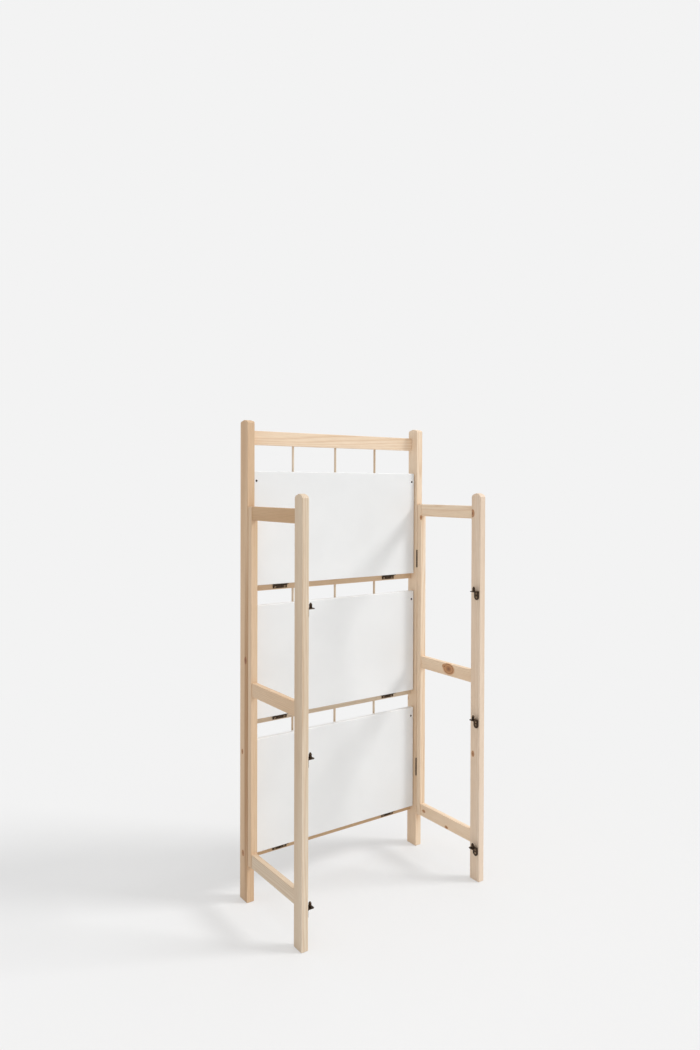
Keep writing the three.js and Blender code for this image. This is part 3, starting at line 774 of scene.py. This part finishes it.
def hinge_leaf(node, centre, out, facing, size, outer):
    """A stamped leaf with its rolled knuckles and its two screws. In its own frame the pin runs along X,
    the plate along +Y, and the wood lies on the plate's +Z side. The leaf has the two outer thirds of the
    knuckles, or the middle one."""
    along = np.cross(out, facing)
    sixth, end, gap = size["long"] / 6, (size["long"] - KNUCKLE_GAP_MM) / 2, KNUCKLE_GAP_MM / 2
    spans = [(-end, -sixth - gap), (sixth + gap, end)] if outer else [(-sixth + gap, sixth - gap)]
    face, top, knuckle, edge = size["face"], size["face"] + LEAF_MM, size["knuckle"], LEAF_EDGE_MM
    root = knuckle + SEAT_GAP_MM
    shells = [soft_block((-end, root, face), (end, size["leaf"], top), edge)]
    for start, stop in spans:
        shells.append(soft_block((start, PIN_BORE_MM + BORE_WALL_MM, face),
                                 (stop, root + KNUCKLE_LAP_MM, top), edge))
        roll, faces = bored([(PIN_BORE_MM, start), (knuckle - edge, start), (knuckle, start + edge),
                             (knuckle, stop - edge), (knuckle - edge, stop), (PIN_BORE_MM, stop)])
        shells.append((roll[..., [2, 0, 1]], faces))
    body, frame_of = body_of_node(node), (centre, along, out, facing)
    metal_piece(f"{node}_plate", shells, BRONZE, body, frame_of, [node])
    screw, faces = countersunk_screw(size["dome"])
    screws_out = (knuckle + size["leaf"]) / 2 + SEAT_GAP_MM
    shells = [(screw + np.array([side * size["screws"], screws_out, face]), faces) for side in (-1, 1)]
    metal_piece(f"{node}_screws", shells, SCREW_BRONZE, body, frame_of)


def bent_strip():
    """A bracket's plate and tab, bent from one strip, whose section is carried along its middle line.

    At arc length s from the foot the strip's half width follows a half round at the foot,
    sqrt(h^2 - (h - s)^2), and a small corner round at the tab's end. Both start at a small angle, so
    that no ring is a point."""
    thick, half, corner = BRACKET["thick"], BRACKET["wide"] / 2, BRACKET["corner"]
    bend = BRACKET["bend"]
    rise, run = BRACKET["tall"] - thick / 2 - bend, BRACKET["tab"] - thick / 2 - bend
    quarter = bend * np.pi / 2
    total = rise + quarter + run
    foot = half * (1 - np.cos(np.linspace(0.06, np.pi / 2, 9)))
    tail = total - corner * (1 - np.cos(np.linspace(np.pi / 2, 0.06, 6)))
    s = np.concatenate([foot, np.linspace(half, rise, 4)[1:-1], np.linspace(rise, rise + quarter, 7),
                        np.linspace(rise + quarter, total - corner, 4)[1:-1], tail])
    width = np.where(s < half, np.sqrt(np.maximum(half ** 2 - (half - s) ** 2, 0)), half)
    near_end = np.maximum(corner - (total - s), 0)
    width = width - corner + np.sqrt(np.maximum(corner ** 2 - near_end ** 2, 0))
    turn = np.clip((s - rise) / bend, 0, np.pi / 2)
    x = thick / 2 + bend * (1 - np.cos(turn)) + np.maximum(s - rise - quarter, 0)
    z = -BRACKET["tall"] + np.minimum(s, rise) + bend * np.sin(turn)
    edge = LEAF_EDGE_MM
    corners = np.array([(1, 1), (-1, 1), (-1, -1), (1, -1)])
    rings = []
    for k, (a, b) in enumerate(corners):
        for angle in np.linspace(0, np.pi / 2, 3) + k * np.pi / 2:
            across = a * (thick / 2 - edge) + edge * np.cos(angle)
            side = b * np.maximum(width - edge, 0.02) + edge * np.sin(angle)
            rings.append(np.stack([x + across * np.cos(turn), side, z - across * np.sin(turn)], -1))
    rings = np.stack(rings, 1)
    return rings, closed_tube(rings)


def peg_bracket(node, side):
    """The bent strip, its riveted peg with a collar that the board rests on, and two screws."""
    low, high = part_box(node)
    facing_in = -side
    centre = ((low[0] if side < 0 else high[0]), (low[1] + high[1]) / 2,
              high[2] - (PEG["collar_tall"] + PEG["tip_tall"]) * MM)
    frame_of = (centre, (facing_in, 0, 0), (0, facing_in, 0), (0, 0, 1))
    collar, tip, tall = PEG["collar"], PEG["tip"], PEG["collar_tall"]
    under = -BRACKET["thick"]
    # From the riveted end under the tab, round the collar, to the rounded tip.
    peg, faces = turned([(0.05, under - 1.1), (1.6, under - 1.0), (2.8, under - 0.5), (3.1, under + 0.1),
                         (collar - 0.3, -0.1), (collar, 0.25), (collar, tall - 0.35), (collar - 0.35, tall),
                         (tip, tall), (tip, tall + 1.9), (tip * 0.86, tall + 2.5), (tip * 0.5, tall + 2.9),
                         (0.05, tall + PEG["tip_tall"])])
    body = body_of_node(node)
    metal_piece(f"{node}_strip", [bent_strip(), (peg + np.array([PEG_FROM_PLATE_MM, 0, 0]), faces)],
                BRONZE, body, frame_of, [node])
    screw, faces = countersunk_screw(BRACKET["dome"])
    level_screw = np.stack([BRACKET["thick"] - screw[..., 2], screw[..., 1], screw[..., 0]], -1)
    shells = [(level_screw + np.array([0, 0, z]), faces) for z in BRACKET["screws"]]
    metal_piece(f"{node}_screws", shells, SCREW_BRONZE, body, frame_of)


def make_hardware():
    """The leaves of every hinge, from the box of its pin, and the six brackets. The pins are the model's
    own, and get their steel here."""
    back, front, up, down = (0, 1, 0), (0, -1, 0), (0, 0, 1), (0, 0, -1)
    for node, pin in frame["nodes"].items():
        if node.endswith("_pin"):
            pin.data.materials.clear()
            pin.data.materials.append(PIN_STEEL)
            low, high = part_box(node)
            centre = [(a + b) / 2 for a, b in zip(low, high)]
            hinge = node[:-len("_pin")]
            if "_shelf_" in hinge:
                hinge_leaf(f"{hinge}_rail_leaf", centre, down, back, SHELF_HINGE, True)
                hinge_leaf(f"{hinge}_board_leaf", centre, front, up, SHELF_HINGE, False)
            else:
                out = (SIDES[hinge.split("_")[0]], 0, 0)
                hinge_leaf(f"{hinge}_upright_leaf", centre, out, back, SIDE_HINGE, True)
                hinge_leaf(f"{hinge}_stile_leaf", centre, out, front, SIDE_HINGE, False)
    for name, side in SIDES.items():
        for tier in TIERS:
            peg_bracket(f"{name}_{tier}_peg_bracket", side)


make_hardware()

# ------------------------------------------------------------------ floor, backdrop and light

BACKDROP_COLOUR = "#F3F3F3"
FLOOR_COLOUR = "#E6E6E6"
FLOOR_SEEN_COLOUR = "#BCBCBC"
FLOOR_GLOW = 0.325         # what the seen floor lacks of the backdrop's colour
FLOOR_REACH = 30.0         # metres from the middle to the floor's edges
FADE_FROM = 1.0            # metres from the middle to where the floor turns into the backdrop
FADE_OVER = 1.5
SKY_STRENGTH = 0.56
KEY_FROM = (0.80, -0.58, 0.80)
KEY_STRENGTH = 1.56
KEY_SPREAD = math.radians(17)
OVERHEAD_FROM = (0, -0.1, 1)
OVERHEAD_STRENGTH = 0.82
OVERHEAD_SPREAD = math.radians(70)


def make_floor():
    """A pale floor that takes the object's soft shadow. To the camera and in reflections it glows a
    little, so that it ends in the backdrop's own colour."""
    mesh = bpy.data.meshes.new("floor")
    corners = ((-1, -1), (1, -1), (1, 1), (-1, 1))
    mesh.from_pydata([(x * FLOOR_REACH, y * FLOOR_REACH, 0) for x, y in corners], [], [(0, 1, 2, 3)])
    floor = bpy.data.objects.new("floor", mesh)
    bpy.context.collection.objects.link(floor)
    material = new_material("pale_floor")
    place = add_node(material, "ShaderNodeTexCoord").outputs["Object"]
    far = add_node(material, "ShaderNodeVectorMath", LENGTH, {0: place}).outputs["Value"]
    past = add_node(material, "ShaderNodeMath", SUBTRACT, {0: far, 1: FADE_FROM})
    fade = add_node(material, "ShaderNodeMath", {**DIVIDE, "use_clamp": True}, {0: past, 1: FADE_OVER})
    rays = add_node(material, "ShaderNodeLightPath").outputs
    seen = add_node(material, "ShaderNodeMath", MAXIMUM,
                    {0: rays["Is Camera Ray"], 1: rays["Is Glossy Ray"]})
    lit = add_node(material, "ShaderNodeBsdfDiffuse", Color=linear(FLOOR_COLOUR))
    shade = add_node(material, "ShaderNodeBsdfDiffuse", Color=linear(FLOOR_SEEN_COLOUR))
    glow = add_node(material, "ShaderNodeEmission", Color=linear("#FFFFFF"), Strength=FLOOR_GLOW)
    both = add_node(material, "ShaderNodeAddShader", None, {0: shade, 1: glow})
    near = add_node(material, "ShaderNodeMixShader", None, {0: seen, 1: lit, 2: both})
    even = add_node(material, "ShaderNodeEmission", Color=linear(BACKDROP_COLOUR), Strength=1.0)
    mix = add_node(material, "ShaderNodeMixShader", None, {0: fade, 1: near, 2: even})
    mesh.materials.append(finish_material(material, mix))


def make_world():
    """A pale studio: soft even light on the object, and the backdrop's own colour where it is seen."""
    world = bpy.data.worlds.new("studio")
    bpy.context.scene.world = world
    world.use_nodes = True
    world.node_tree.nodes.clear()
    sky = add_node(world, "ShaderNodeBackground", Color=linear("#FFFFFF"), Strength=SKY_STRENGTH)
    backdrop = add_node(world, "ShaderNodeBackground", Color=linear(BACKDROP_COLOUR), Strength=1.0)
    rays = add_node(world, "ShaderNodeLightPath").outputs
    seen = add_node(world, "ShaderNodeMath", MAXIMUM, {0: rays["Is Camera Ray"], 1: rays["Is Glossy Ray"]})
    mix = add_node(world, "ShaderNodeMixShader", None, {0: seen, 1: sky, 2: backdrop})
    add_node(world, "ShaderNodeOutputWorld", Surface=mix)


def make_lamp(name, direction, strength, spread):
    """A broad studio lamp far away, as parallel light with soft shadows."""
    data = bpy.data.lights.new(name, "SUN")
    data.energy = strength
    data.angle = spread
    lamp = bpy.data.objects.new(name, data)
    bpy.context.collection.objects.link(lamp)
    lamp.rotation_euler = (-Vector(direction)).to_track_quat("-Z", "Y").to_euler()


make_floor()
make_world()
make_lamp("key", KEY_FROM, KEY_STRENGTH, KEY_SPREAD)
make_lamp("overhead", OVERHEAD_FROM, OVERHEAD_STRENGTH, OVERHEAD_SPREAD)

bpy.context.scene.view_settings.view_transform = "Standard"
